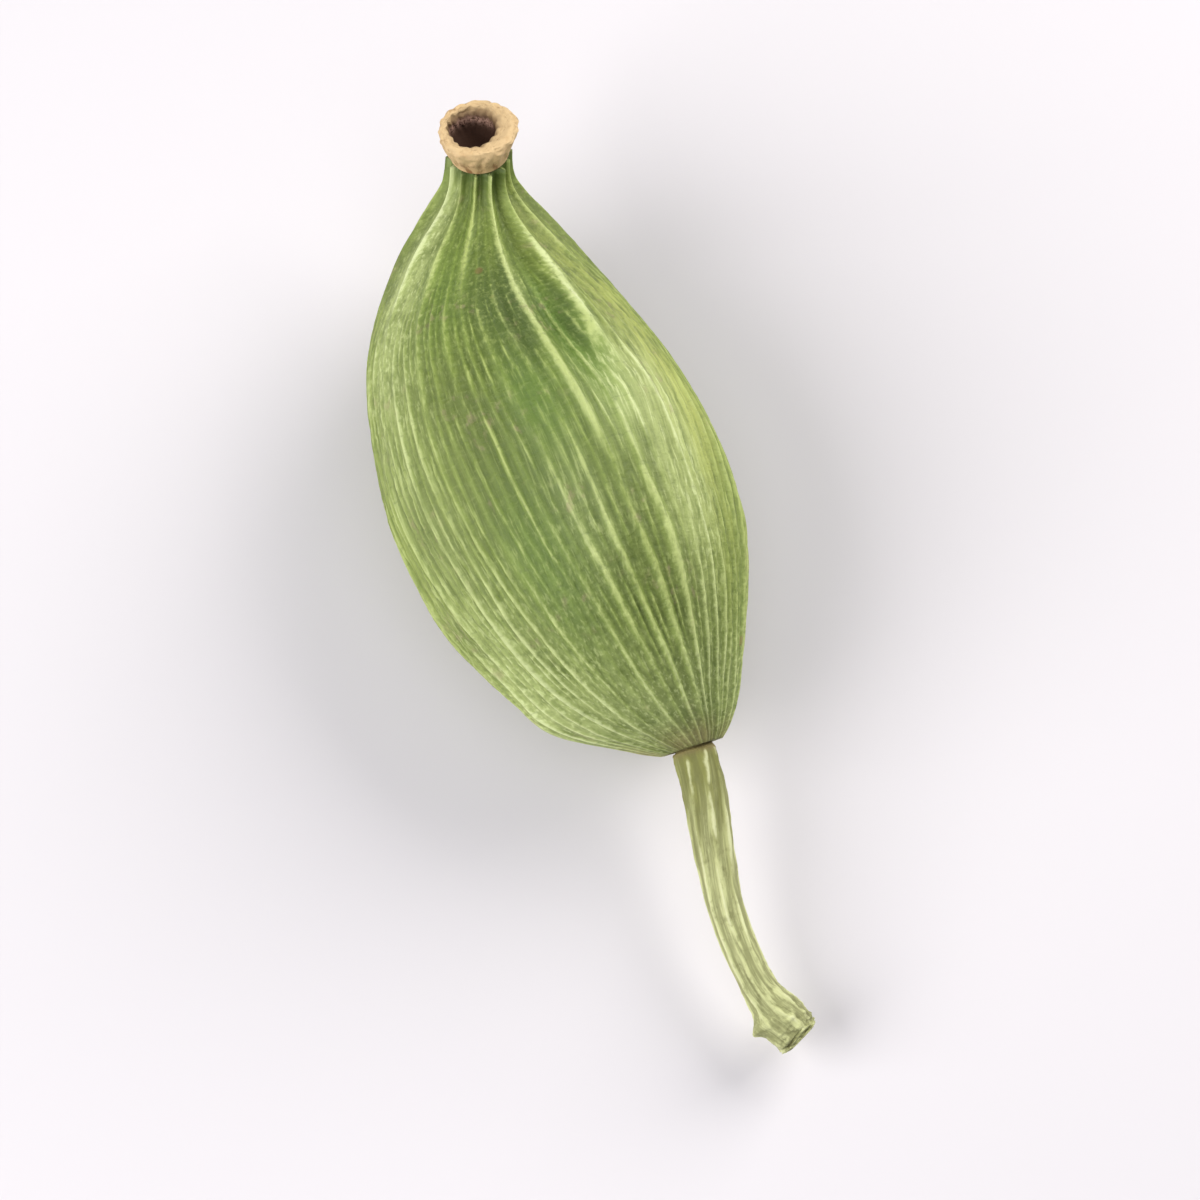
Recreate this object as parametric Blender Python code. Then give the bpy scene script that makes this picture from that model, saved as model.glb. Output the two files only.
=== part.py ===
"""Green cardamom pod: a ribbed, three-sided husk with its dried flower tube and its stalk, lying on its side.

Metres, +Z up. The pod lies along Y, with the flower tube at +Y and the stalk at -Y. The origin is on the surface
that the pod lies on, under the middle of the whole pod.
"""

import math

import bmesh
import bpy
from mathutils import Matrix, Vector

MM = 0.001

# Where the stalk joins the husk: to the side, along and above the origin. The husk's rows start from here.
JOINT = Vector((0.86 * MM, -4.31 * MM, 2.68 * MM))

# The husk from the stalk to the neck. Each row is one cross-section: how far along the pod its centre lies, how
# far to the side, how far above the stalk's joint, its mean radius, and how many degrees its axis climbs.
HUSK_SECTIONS = (
    (0.00 * MM, 0.00 * MM, 0.00 * MM, 0.72 * MM, 12.0),
    (0.30 * MM, -0.14 * MM, 0.06 * MM, 1.14 * MM, 10.0),
    (1.00 * MM, -0.40 * MM, 0.20 * MM, 1.86 * MM, 8.0),
    (2.40 * MM, -0.66 * MM, 0.42 * MM, 2.80 * MM, 4.0),
    (4.40 * MM, -0.74 * MM, 0.60 * MM, 3.62 * MM, 1.0),
    (6.90 * MM, -0.80 * MM, 0.68 * MM, 3.98 * MM, 1.0),
    (9.30 * MM, -0.90 * MM, 0.68 * MM, 3.74 * MM, 3.0),
    (11.50 * MM, -0.94 * MM, 0.90 * MM, 3.00 * MM, 12.0),
    (13.20 * MM, -0.68 * MM, 1.42 * MM, 1.92 * MM, 30.0),
    (14.30 * MM, -0.26 * MM, 2.15 * MM, 0.88 * MM, 50.0),
    (14.86 * MM, -0.02 * MM, 2.86 * MM, 0.71 * MM, 64.0),
)
FLATTENING = 0.93  # height of a cross-section over its width
TURN_SHARE = 0.16  # the neck turns sideways this much for each degree that it climbs
RINGS_PER_SECTION = 3

# The three blunt corners of a cross-section: one on top, one low on the right and one low on the left.
TOP_CORNER = math.radians(76.0)
CORNER_RISE = 0.06
LOPSIDED = math.radians(9.5)

# Ribs run from end to end. Each has one crest point and two points in the furrow beside it. Every third rib is a
# strong one, which alone goes on into the folds of the neck and the puckers round the stalk.
STRONG_RIBS = 13
RIBS = 3 * STRONG_RIBS
POINTS_PER_RIB = 3
RIB_HEIGHT = 0.13 * MM
FULL_RIB_RADIUS = 3.0 * MM  # where the husk is slimmer, its ribs are lower
RIB_TURN = math.radians(-4.0)  # the ribs at the neck are turned by this much
RIB_TWIST = math.radians(-12.0)  # and turn this much more on their way to the stalk
RIB_WANDER = math.radians(1.5)
NECK_FOLD_DEPTH = 0.07 * MM
BASE_PUCKER_DEPTH = 0.08 * MM

# The keels are the three ribs that run along the corners.
KEEL_RIBS = (9, -3, 24)
KEEL_HEIGHT = 0.10 * MM
KEEL_SPREAD = math.radians(5.0)

# Swellings and dents: how far along the husk, the angle in degrees, the height, and the spread both ways.
SWELLINGS = (
    (12.8 * MM, 66.0, -0.20 * MM, 1.6 * MM, 7.0),
    (10.3 * MM, 71.5, -0.38 * MM, 1.5 * MM, 5.5),
    (10.8 * MM, 87.0, -0.20 * MM, 2.2 * MM, 4.5),
    (13.0 * MM, 53.5, 0.10 * MM, 1.0 * MM, 5.0),
    (11.6 * MM, 57.0, 0.16 * MM, 1.2 * MM, 5.0),
    (10.1 * MM, 60.5, 0.16 * MM, 1.2 * MM, 5.0),
    (7.9 * MM, 60.0, 0.22 * MM, 1.1 * MM, 12.0),
    (6.8 * MM, 110.0, -0.14 * MM, 2.6 * MM, 18.0),
    (1.3 * MM, 176.0, 0.32 * MM, 0.9 * MM, 34.0),
    (0.6 * MM, 232.0, -0.24 * MM, 0.6 * MM, 34.0),
    (0.6 * MM, 206.0, -0.20 * MM, 0.35 * MM, 24.0),
    (1.0 * MM, 50.0, -0.14 * MM, 1.0 * MM, 22.0),
)

# The round sockets in the husk's two ends.
STALK_SOCKET_RADIUS = 0.50 * MM
TUBE_SOCKET_RADIUS = 0.42 * MM
SOCKET_DEPTH = 0.40 * MM
SEAM = 0.06 * MM  # clearance between two pieces where they meet

# The flower tube: height above the end of the neck, and radius, from the foot in its socket to the floor of its bore.
TUBE_SECTIONS = (
    (SEAM - SOCKET_DEPTH, TUBE_SOCKET_RADIUS - SEAM),
    (SEAM, TUBE_SOCKET_RADIUS - SEAM),
    (SEAM, 0.67 * MM),
    (0.22 * MM, 0.73 * MM),
    (0.56 * MM, 0.86 * MM),
    (0.84 * MM, 0.96 * MM),
    (0.96 * MM, 0.93 * MM),
    (0.94 * MM, 0.70 * MM),
    (0.76 * MM, 0.58 * MM),
    (0.45 * MM, 0.54 * MM),
    (0.24 * MM, 0.40 * MM),
)
RIM_ROWS = 7  # rows of the outside and the rim; the rest are the bore
BORE_SHIFT = Vector((-0.12 * MM, 0.10 * MM, 0.0))  # the bore is off the tube's centre
TUBE_SIDES = 36
TUBE_LOBE = 0.04
RIM_WAVE = 0.07 * MM

# The stalk, from its tapered foot in the husk to its cut end: along the pod, to the side, height above the joint,
# radius.
STALK_SECTIONS = (
    (0.34 * MM, 0.00 * MM, 0.06 * MM, 0.42 * MM),
    (0.00 * MM, 0.00 * MM, 0.00 * MM, 0.44 * MM),
    (-0.18 * MM, -0.01 * MM, -0.03 * MM, 0.54 * MM),
    (-1.10 * MM, -0.10 * MM, -0.16 * MM, 0.54 * MM),
    (-2.50 * MM, -0.36 * MM, -0.38 * MM, 0.48 * MM),
    (-4.00 * MM, -0.56 * MM, -0.68 * MM, 0.43 * MM),
    (-5.40 * MM, -0.50 * MM, -1.02 * MM, 0.42 * MM),
    (-6.15 * MM, -0.34 * MM, -1.25 * MM, 0.47 * MM),
    (-6.60 * MM, -0.18 * MM, -1.40 * MM, 0.58 * MM),
    (-7.05 * MM, 0.02 * MM, -1.53 * MM, 0.56 * MM),
    (-7.25 * MM, 0.12 * MM, -1.58 * MM, 0.44 * MM),
)
STALK_RIBS = 8
STALK_RIB_SHARE = 0.09  # height of a stalk rib over the stalk's radius
STALK_SIDES = 3 * STALK_RIBS
CUT_LOBE = 0.16
CUT_RIM_SHARE = 0.66  # radius of the sunken pith over that of the cut end
CUT_DEPTH = 0.12 * MM


def clear_scene():
    """Empties the scene of what it opened with."""
    for leftover in list(bpy.data.objects):
        bpy.data.objects.remove(leftover)


def material(name, colour, roughness):
    """One Principled BSDF finish. Nothing on the pod is metal."""
    made = bpy.data.materials.new(name)
    made.use_nodes = True
    shader = made.node_tree.nodes["Principled BSDF"]
    shader.inputs["Base Color"].default_value = (*colour, 1.0)
    shader.inputs["Roughness"].default_value = roughness
    shader.inputs["Metallic"].default_value = 0.0
    return made


def between(rows, position):
    """The row at a position that may lie between two rows, on a smooth curve through all of them."""
    index = min(int(position), len(rows) - 2)
    share = position - index
    before = rows[max(index - 1, 0)]
    first = rows[index]
    second = rows[index + 1]
    after = rows[min(index + 2, len(rows) - 1)]
    mixed = []
    for a, b, c, d in zip(before, first, second, after):
        bend = (2 * a - 5 * b + 4 * c - d) * share**2 + (3 * b - a - 3 * c + d) * share**3
        mixed.append(b + 0.5 * ((c - a) * share + bend))
    return mixed


def ease(low, high, value):
    """0 below low, 1 above high, and a smooth step between."""
    share = max(0.0, min(1.0, (value - low) / (high - low)))
    return share * share * (3.0 - 2.0 * share)


def angle_gap(a, b):
    """The signed turn from b to a, between minus pi and pi."""
    return (a - b + math.pi) % (2.0 * math.pi) - math.pi


def hump(distance, spread):
    """A bell of height 1 that falls away over the spread."""
    return math.exp(-((distance / spread) ** 2))


def skin(name, sides, stations, place, finish):
    """One closed skin: a UV sphere whose rings move to where place(station, angle) puts them, poles included."""
    shape = bmesh.new()
    bmesh.ops.create_uvsphere(shape, u_segments=sides, v_segments=stations, radius=1.0)
    for vertex in shape.verts:
        x, y, z = vertex.co
        station = round(stations * math.acos(max(-1.0, min(1.0, -z))) / math.pi)
        vertex.co = place(station, math.atan2(y, x))
    mesh = bpy.data.meshes.new(name)
    shape.to_mesh(mesh)
    shape.free()
    mesh.materials.append(finish)
    mesh.shade_smooth()
    return bpy.data.objects.new(name, mesh)


def husk_frame(position):
    """Centre and mean radius of the husk's cross-section there, and its side, up and backward directions."""
    along, aside, rise, radius, climb = between(HUSK_SECTIONS, position)
    climb = math.radians(climb)
    turn = TURN_SHARE * climb
    side = Vector((math.cos(turn), -math.sin(turn), 0.0))
    backward = -Vector((math.sin(turn) * math.cos(climb), math.cos(turn) * math.cos(climb), math.sin(climb)))
    return Vector((aside, along, rise)), radius, side, backward.cross(side), backward


def three_sided(angle):
    """Radius over the mean radius of a rounded triangle that is wider on the left."""
    around = angle_gap(angle, TOP_CORNER)
    return 1.0 + CORNER_RISE * math.cos(3.0 * (around - LOPSIDED * (1.0 - math.cos(around))))


def rib_relief(position, along, angle, radius):
    """How far the ribs, keels, folds and puckers raise the husk's surface there. The angle is the ribs' own."""
    fullness = min(1.0, radius / FULL_RIB_RADIUS)
    crest = max(0.0, math.cos(RIBS * angle)) * (0.85 + 0.15 * math.sin(3.0 * angle + 0.9 * position))
    keel = sum(hump(angle_gap(angle, rib * 2.0 * math.pi / RIBS), KEEL_SPREAD) for rib in KEEL_RIBS)
    neck = ease(11.0 * MM, 13.8 * MM, along)
    base = 1.0 - ease(0.2 * MM, 1.8 * MM, along)
    relief = fullness * (crest * RIB_HEIGHT + keel * KEEL_HEIGHT)
    relief += neck * NECK_FOLD_DEPTH * math.cos(STRONG_RIBS * angle)
    relief += base * fullness * BASE_PUCKER_DEPTH * math.cos(STRONG_RIBS * angle)
    return relief


def swelling(along, angle):
    """How far the swellings and dents raise the husk's surface there."""
    raised = 0.0
    for middle, degrees, height, spread, spread_degrees in SWELLINGS:
        turn = angle_gap(angle, math.radians(degrees))
        raised += height * hump(along - middle, spread) * hump(turn, math.radians(spread_degrees))
    return raised


def husk_surface(position, angle):
    """A point of the husk's ribbed outer skin, flat where it lies on the ground."""
    centre, radius, side, up, _ = husk_frame(position)
    bend = angle + RIB_TURN + RIB_TWIST * (1.0 - ease(0.5, 6.5, position))
    bend += RIB_WANDER * math.sin(2.0 * angle + 0.7 * position)
    reach = radius * three_sided(bend) + swelling(centre.y, bend)
    reach += rib_relief(position, centre.y, angle, radius)
    point = centre + side * (reach * math.cos(bend)) + up * (reach * FLATTENING * math.sin(bend))
    point.z = max(point.z, -JOINT.z)
    return point


def make_husk(finish):
    """The husk: its outer skin runs between two blind round sockets, one for the stalk and one for the flower tube."""
    last_section = len(HUSK_SECTIONS) - 1
    stations = last_section * RINGS_PER_SECTION + 6

    def place(station, angle):
        from_end = min(station, stations - station)
        if from_end >= 3:
            return husk_surface((station - 3) / RINGS_PER_SECTION, angle)
        at_stalk = station < 3
        centre, _, side, up, backward = husk_frame(0 if at_stalk else last_section)
        inward = -backward if at_stalk else backward
        reach = STALK_SOCKET_RADIUS if at_stalk else TUBE_SOCKET_RADIUS
        if from_end == 0:
            reach = 0.0
        floor = SOCKET_DEPTH if from_end < 2 else 0.0
        return centre + inward * floor + (side * math.cos(angle) + up * math.sin(angle)) * reach

    husk = skin("husk", RIBS * POINTS_PER_RIB, stations, place, finish)
    husk.data.flip_normals()
    return husk


def make_flower_tube(finish):
    """The dried flower tube: a short cup with a wavy rim, whose foot stands in the neck's socket."""
    stations = len(TUBE_SECTIONS) + 1

    def place(station, angle):
        row = min(max(station - 1, 0), len(TUBE_SECTIONS) - 1)
        height, radius = TUBE_SECTIONS[row]
        shift = BORE_SHIFT if row >= RIM_ROWS else Vector()
        openness = ease(0.3 * MM, 1.1 * MM, height)
        radius *= 1.0 + TUBE_LOBE * openness * math.cos(3.0 * angle + 0.8)
        height += RIM_WAVE * openness * math.cos(2.0 * angle - 0.6)
        reach = 0.0 if station in (0, stations) else radius
        return shift + Vector((reach * math.cos(angle), reach * math.sin(angle), height))

    return skin("flower_tube", TUBE_SIDES, stations, place, finish)


def make_stalk(finish):
    """The stalk: a ribbed, drooping stem whose foot stands in the husk and whose cut end is flared and hollow."""
    last_section = len(STALK_SECTIONS) - 1
    stations = 2 * last_section + 3

    def frame(position):
        along, aside, rise, radius = between(STALK_SECTIONS, position)
        ahead = between(STALK_SECTIONS, min(position + 0.01, last_section))
        behind = between(STALK_SECTIONS, max(position - 0.01, 0.0))
        forward = Vector((ahead[1] - behind[1], ahead[0] - behind[0], ahead[2] - behind[2])).normalized()
        side = forward.cross(Vector((0.0, 0.0, -1.0))).normalized()
        return Vector((aside, along, rise)), radius, side, forward.cross(side), forward

    def place(station, angle):
        position = min(max(station - 1, 0) / 2, last_section)
        centre, radius, side, up, forward = frame(position)
        cut = ease(last_section - 2.5, last_section, position)
        radius *= 1.0 + STALK_RIB_SHARE * ease(1.5, 2.5, position) * math.cos(STALK_RIBS * angle)
        radius *= 1.0 + CUT_LOBE * cut * math.cos(2.0 * angle + 0.9)
        if station >= stations - 1:
            radius *= CUT_RIM_SHARE
            centre = centre - forward * CUT_DEPTH
        reach = 0.0 if station in (0, stations) else radius
        return centre + (side * math.cos(angle) + up * math.sin(angle)) * reach

    return skin("stalk", STALK_SIDES, stations, place, finish)


def main():
    """Builds the pod in a collection of its own, its three pieces placed from the stalk's joint."""
    clear_scene()
    pod = bpy.data.collections.new("green_cardamom_pod")
    bpy.context.scene.collection.children.link(pod)
    joint = bpy.data.objects.new("stalk_joint", None)
    joint.location = JOINT

    husk = make_husk(material("husk_green", (0.31, 0.39, 0.13), 0.62))
    stalk = make_stalk(material("stalk_pale", (0.44, 0.46, 0.20), 0.70))
    flower_tube = make_flower_tube(material("dry_tan", (0.60, 0.42, 0.22), 0.80))
    centre, _, side, up, backward = husk_frame(len(HUSK_SECTIONS) - 1)
    flower_tube.location = centre
    flower_tube.rotation_euler = Matrix((side, -up, -backward)).transposed().to_euler()

    for piece in (joint, husk, stalk, flower_tube):
        pod.objects.link(piece)
    for piece in (husk, stalk, flower_tube):
        piece.parent = joint


main()
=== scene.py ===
"""The looks of a dried green cardamom pod: its ribbed husk, its open flower tube and its curved stalk.

The three pieces are lofted at full detail over the same sections as the fixed model, and stand for its nodes.
"""

from __future__ import annotations

import logging
import math
from bisect import bisect_left
from dataclasses import dataclass, field
from enum import Enum
from typing import Callable, Sequence, Union

import bmesh
import bpy
from mathutils import Matrix, Vector, noise

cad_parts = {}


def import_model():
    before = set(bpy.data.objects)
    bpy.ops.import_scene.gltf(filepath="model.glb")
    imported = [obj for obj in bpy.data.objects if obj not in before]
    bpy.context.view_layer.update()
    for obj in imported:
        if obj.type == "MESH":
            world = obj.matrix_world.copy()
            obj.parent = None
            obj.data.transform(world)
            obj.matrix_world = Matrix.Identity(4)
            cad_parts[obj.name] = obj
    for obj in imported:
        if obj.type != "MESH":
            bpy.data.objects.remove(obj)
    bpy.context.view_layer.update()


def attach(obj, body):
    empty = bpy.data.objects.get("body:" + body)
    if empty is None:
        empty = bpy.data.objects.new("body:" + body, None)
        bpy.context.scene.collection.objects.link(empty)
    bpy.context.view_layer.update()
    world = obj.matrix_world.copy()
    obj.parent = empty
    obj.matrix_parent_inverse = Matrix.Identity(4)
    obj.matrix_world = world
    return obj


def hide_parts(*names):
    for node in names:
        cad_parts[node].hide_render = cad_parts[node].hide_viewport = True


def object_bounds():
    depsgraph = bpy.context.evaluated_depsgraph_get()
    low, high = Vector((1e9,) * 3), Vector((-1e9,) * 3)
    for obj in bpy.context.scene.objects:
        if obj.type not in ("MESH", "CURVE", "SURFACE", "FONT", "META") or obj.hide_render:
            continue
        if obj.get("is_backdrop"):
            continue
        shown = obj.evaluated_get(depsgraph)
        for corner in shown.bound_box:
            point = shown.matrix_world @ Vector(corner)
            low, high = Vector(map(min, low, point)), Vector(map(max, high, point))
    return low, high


log = logging.getLogger("cardamom")

MM = 0.001
Row = Sequence[float]
Colour = tuple[float, float, float, float]
Operand = Union["Value", float, Sequence[float]]


class Piece(Enum):
    """The pieces of the pod, by the node and the material slot that each one stands for."""

    HUSK = "husk"
    FLOWER_TUBE = "flower_tube"
    STALK = "stalk"


class Mark(Enum):
    """What a skin says about each of its points, for the finish to read."""

    CREST = "crest"
    ALONG = "along"
    TINT = "tint"
    # DEEP is how far a point is darkened: painted shade in the husk's hollows and sockets and in the flower tube's
    # bore, and the stalk's dark clefts and cut end.
    DEEP = "deep"
    PALE = "pale"
    FRESH = "fresh"
    GRAIN = "grain"


def ease(low: float, high: float, value: float) -> float:
    """A smooth step.

    Args:
        low: where the step starts.
        high: where it ends.
        value: the number to place.

    Returns:
        0 below low, 1 above high, and a smooth curve between.
    """
    share = max(0.0, min(1.0, (value - low) / (high - low)))
    return share * share * (3.0 - 2.0 * share)


def hump(distance: float, spread: float) -> float:
    """A bell.

    Args:
        distance: how far from its middle.
        spread: how far it reaches.

    Returns:
        1 in the middle, falling to 0 beyond the spread.
    """
    return math.exp(-((distance / spread) ** 2))


def angle_gap(a: float, b: float) -> float:
    """The turn from one angle to another.

    Args:
        a: the angle to reach.
        b: the angle to start from.

    Returns:
        The signed turn, between minus pi and pi.
    """
    return (a - b + math.pi) % (2.0 * math.pi) - math.pi


def crease(turn: float) -> float:
    """A row of narrow ridges with rounded furrows between.

    Args:
        turn: the phase; a ridge stands at each whole multiple of two pi.

    Returns:
        1 on a ridge, 0 in the bottom of a furrow.
    """
    return max(0.0, 1.06 - math.sqrt(math.sin(turn / 2.0) ** 2 + 0.0036)) ** 1.3


def noise_round(angle: float, along: float, fineness: float, length: float) -> float:
    """Soft noise that closes on itself round the pod.

    Args:
        angle: the angle round the pod.
        along: the place along it.
        fineness: how finely the noise changes round the pod.
        length: how far along the pod one swing of it reaches.

    Returns:
        A number between about minus 1 and 1.
    """
    return noise.noise(Vector((fineness * math.cos(angle), along / length, fineness * math.sin(angle))))


def between(rows: Sequence[Row], position: float) -> list[float]:
    """A row that may lie between two rows, on a smooth curve through all of them.

    Args:
        rows: the rows to pass through.
        position: the wanted place, counted in rows.

    Returns:
        The numbers of the row there.
    """
    index = min(int(position), len(rows) - 2)
    share = position - index
    before = rows[max(index - 1, 0)]
    after = rows[min(index + 2, len(rows) - 1)]
    mixed = []
    for a, b, c, d in zip(before, rows[index], rows[index + 1], after):
        bend = (2 * a - 5 * b + 4 * c - d) * share**2 + (3 * b - a - 3 * c + d) * share**3
        mixed.append(b + 0.5 * ((c - a) * share + bend))
    return mixed


def paint(red: int, green: int, blue: int) -> Colour:
    """A colour as a material stores it.

    Args:
        red: the red of the colour as seen on a screen, 0 to 255.
        green: its green.
        blue: its blue.

    Returns:
        The linear colour with full alpha.
    """
    seen = [channel / 255.0 for channel in (red, green, blue)]
    linear = [c / 12.92 if c <= 0.04045 else ((c + 0.055) / 1.055) ** 2.4 for c in seen]
    return (linear[0], linear[1], linear[2], 1.0)


class Value:
    """A number or a colour on its way through a material. Arithmetic on it adds Math nodes."""

    def __init__(self, graph: Graph, socket: bpy.types.NodeSocket) -> None:
        """Keeps the graph and the output socket.

        Args:
            graph: the material's graph.
            socket: the output that carries the value.
        """
        self.graph = graph
        self.socket = socket

    def _maths(self, operation: str, *terms: Operand) -> Value:
        """One Math node on the terms, in order."""
        return self.graph.node("ShaderNodeMath", {"operation": operation}, dict(enumerate(terms)))

    def __add__(self, other: Operand) -> Value:
        """This plus other."""
        return self._maths("ADD", self, other)

    def __radd__(self, other: Operand) -> Value:
        """Other plus this."""
        return self._maths("ADD", other, self)

    def __sub__(self, other: Operand) -> Value:
        """This minus other."""
        return self._maths("SUBTRACT", self, other)

    def __rsub__(self, other: Operand) -> Value:
        """Other minus this."""
        return self._maths("SUBTRACT", other, self)

    def __mul__(self, other: Operand) -> Value:
        """This times other."""
        return self._maths("MULTIPLY", self, other)

    def __rmul__(self, other: Operand) -> Value:
        """Other times this."""
        return self._maths("MULTIPLY", other, self)


class Graph:
    """The nodes of one Principled material."""

    def __init__(self, name: str) -> None:
        """Makes the material.

        Args:
            name: the material's name.
        """
        self.material = bpy.data.materials.new(name)
        self.material.use_nodes = True
        self.tree = self.material.node_tree
        self.shader = self.tree.nodes["Principled BSDF"]

    def node(
        self,
        kind: str,
        settings: dict[str, object] | None = None,
        inputs: dict[str | int, Operand] | None = None,
        output: str | int = 0,
    ) -> Value:
        """Adds one node.

        Args:
            kind: the node's type.
            settings: its options, which are set first.
            inputs: a value or a link for each of its sockets.
            output: the output to go on with.

        Returns:
            The value of that output.
        """
        made = self.tree.nodes.new(kind)
        for option, choice in (settings or {}).items():
            setattr(made, option, choice)
        for key, operand in (inputs or {}).items():
            if isinstance(operand, Value):
                self.tree.links.new(operand.socket, made.inputs[key])
            else:
                made.inputs[key].default_value = operand
        return Value(self, made.outputs[output])

    def mark(self, mark: Mark) -> Value:
        """The number that the skin says about each point."""
        return self.node("ShaderNodeAttribute", {"attribute_name": mark.value}, output="Fac")

    def grain(self, across: float, along: float) -> Value:
        """Coordinates on the skin laid out straight, in millimetres.

        Args:
            across: how much finer the pattern is across the pod.
            along: how much finer it is along the pod.

        Returns:
            The stretched coordinates.
        """
        straight = self.node("ShaderNodeAttribute", {"attribute_name": Mark.GRAIN.value}, output="Vector")
        return self.node("ShaderNodeMapping", None, {"Vector": straight, "Scale": (across, along, across)})

    def noise(self, where: Value, detail: float = 3.0, rough: float = 0.55) -> Value:
        """Soft noise.

        Args:
            where: the coordinates, scaled to one feature a unit.
            detail: how many finer octaves it has.
            rough: how strong they are.

        Returns:
            A value around 0.5.
        """
        inputs = {"Vector": where, "Scale": 1.0, "Detail": detail, "Roughness": rough}
        return self.node("ShaderNodeTexNoise", None, inputs, "Fac")

    def step(self, value: Value, low: float, high: float) -> Value:
        """A smooth step of the value from 0 at low to 1 at high."""
        inputs = {"Value": value, "From Min": low, "From Max": high}
        return self.node("ShaderNodeMapRange", {"interpolation_type": "SMOOTHSTEP"}, inputs)

    def flecks(self, where: Value, radius: float, share: float) -> Value:
        """Scattered round flecks.

        Args:
            where: the coordinates, scaled to one cell a unit.
            radius: a fleck's radius in cells.
            share: the share of the cells that hold a fleck.

        Returns:
            1 inside a fleck and 0 outside.
        """
        cells = self.tree.nodes.new("ShaderNodeTexVoronoi")
        self.tree.links.new(where.socket, cells.inputs["Vector"])
        cells.inputs["Scale"].default_value = 1.0
        inside = 1.0 - self.step(Value(self, cells.outputs["Distance"]), 0.5 * radius, radius)
        drawn = self.node("ShaderNodeSeparateColor", None, {0: Value(self, cells.outputs["Color"])})
        return inside * self.step(drawn, 1.0 - share, 1.0 - 0.8 * share)

    def blend(self, share: Operand, first: Operand, second: Operand) -> Value:
        """A mix of two colours.

        Args:
            share: 0 for the first colour, 1 for the second.
            first: the first colour.
            second: the second colour.

        Returns:
            The mixed colour.
        """
        return self.node("ShaderNodeMix", {"data_type": "RGBA"}, {0: share, 6: first, 7: second}, 2)

    def finish(self, colour: Value, rough: Operand, height: Value, depth: float) -> bpy.types.Material:
        """Feeds the shader.

        Args:
            colour: the base colour.
            rough: the roughness.
            height: the fine relief, 0 to 1.
            depth: how deep the fine relief is, in metres.

        Returns:
            The finished material.
        """
        relief = self.node("ShaderNodeBump", None, {"Strength": 1.0, "Distance": depth, "Height": height})
        for name, operand in (("Base Color", colour), ("Roughness", rough), ("Normal", relief)):
            if isinstance(operand, Value):
                self.tree.links.new(operand.socket, self.shader.inputs[name])
            else:
                self.shader.inputs[name].default_value = operand
        return self.material


@dataclass(frozen=True)
class HuskFinish:
    """The dry green skin: pale ribs over darker green furrows, partly their own colour and partly painted shade,
    yellower on one side, with fibres, bloom, specks and painted shade in the hollows.
    """

    # The furrows' darker green is partly the skin's own colour and partly painted shade between the ribs.
    furrow: Colour = paint(90, 107, 38)
    flesh: Colour = paint(123, 142, 60)
    rib: Colour = paint(187, 202, 120)
    sunny: Colour = paint(184, 194, 102)
    fresh: Colour = paint(104, 138, 54)
    # The dark green of the painted shade in the husk's hollows, also used for dark fibres and crinkles.
    deep: Colour = paint(72, 92, 36)
    bloom: Colour = paint(188, 202, 132)
    frost: Colour = paint(223, 234, 178)
    blush: Colour = paint(156, 138, 112)
    tan: Colour = paint(160, 134, 98)
    speck: Colour = paint(128, 84, 58)
    relief_depth: float = 0.07 * MM

    def material(self) -> bpy.types.Material:
        """Builds the material.

        Returns:
            The husk's material.
        """
        graph = Graph("husk_skin")
        crest, along = graph.mark(Mark.CREST), graph.mark(Mark.ALONG)
        tint, deep = graph.mark(Mark.TINT), graph.mark(Mark.DEEP)
        pale, fresh = graph.mark(Mark.PALE), graph.mark(Mark.FRESH)
        streak = graph.noise(graph.grain(3.2, 0.35))
        fibre = graph.noise(graph.grain(13.0, 0.7), 3.0)
        patch = graph.noise(graph.grain(0.55, 0.40))
        dash = graph.noise(graph.grain(4.0, 2.4), 3.0)
        crinkle = graph.noise(graph.grain(4.2, 7.5), 4.0, 0.62)
        dust = graph.noise(graph.grain(16.0, 12.0), 2.0)

        # Darker furrow colour between the ribs, lighter flesh beside them: partly the skin's own colour, partly
        # painted shade.
        colour = graph.blend(graph.step(crest + (streak - 0.5) * 0.6, -0.05, 0.45), self.furrow, self.flesh)
        colour = graph.blend(graph.step(patch, 0.42, 0.66) * 0.5, colour, self.furrow)
        colour = graph.blend(tint * graph.step(streak, 0.2, 0.7) * 0.9, colour, self.sunny)
        colour = graph.blend(pale * (graph.step(streak, 0.25, 0.65) * 0.45 + 0.25), colour, self.bloom)
        colour = graph.blend(fresh * 0.8, colour, self.fresh)
        # Painted shade: the deep mark darkens the creases, the valley, the neck's ring and the sockets.
        colour = graph.blend(deep * 0.8, colour, self.deep)
        line = graph.step(crest + (fibre - 0.5) * 0.6 + (dash - 0.5) * 0.5, 0.34, 1.0)
        colour = graph.blend(line * 0.70, colour, self.rib)
        colour = graph.blend(line * pale * 0.85, colour, self.frost)
        colour = graph.blend(graph.step(fibre, 0.52, 0.70) * pale * 0.5, colour, self.frost)
        blotch = graph.step(dash, 0.54, 0.70) * graph.step(patch, 0.50, 0.60)
        colour = graph.blend(blotch * 0.40, colour, self.blush)
        colour = graph.blend(graph.step(fibre, 0.50, 0.76) * 0.26, colour, self.rib)
        colour = graph.blend(graph.step(fibre, 0.48, 0.26) * 0.30, colour, self.deep)
        colour = graph.blend(graph.step(crinkle, 0.50, 0.80) * 0.18, colour, self.bloom)
        colour = graph.blend(graph.step(crinkle, 0.46, 0.26) * 0.32, colour, self.deep)
        ends = graph.step(along, 0.05, 0.0) * graph.step(patch, 0.3, 0.6)
        colour = graph.blend(ends * 0.5, colour, self.tan)
        colour = graph.blend(graph.flecks(graph.grain(0.75, 0.55), 0.10, 0.22) * 0.4, colour, self.speck)
        rough = 0.64 - crest * 0.10 + (crinkle - 0.5) * 0.25
        height = fibre * 0.40 + crinkle * 0.50 + dust * 0.10
        return graph.finish(colour, rough, height, self.relief_depth)


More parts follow.
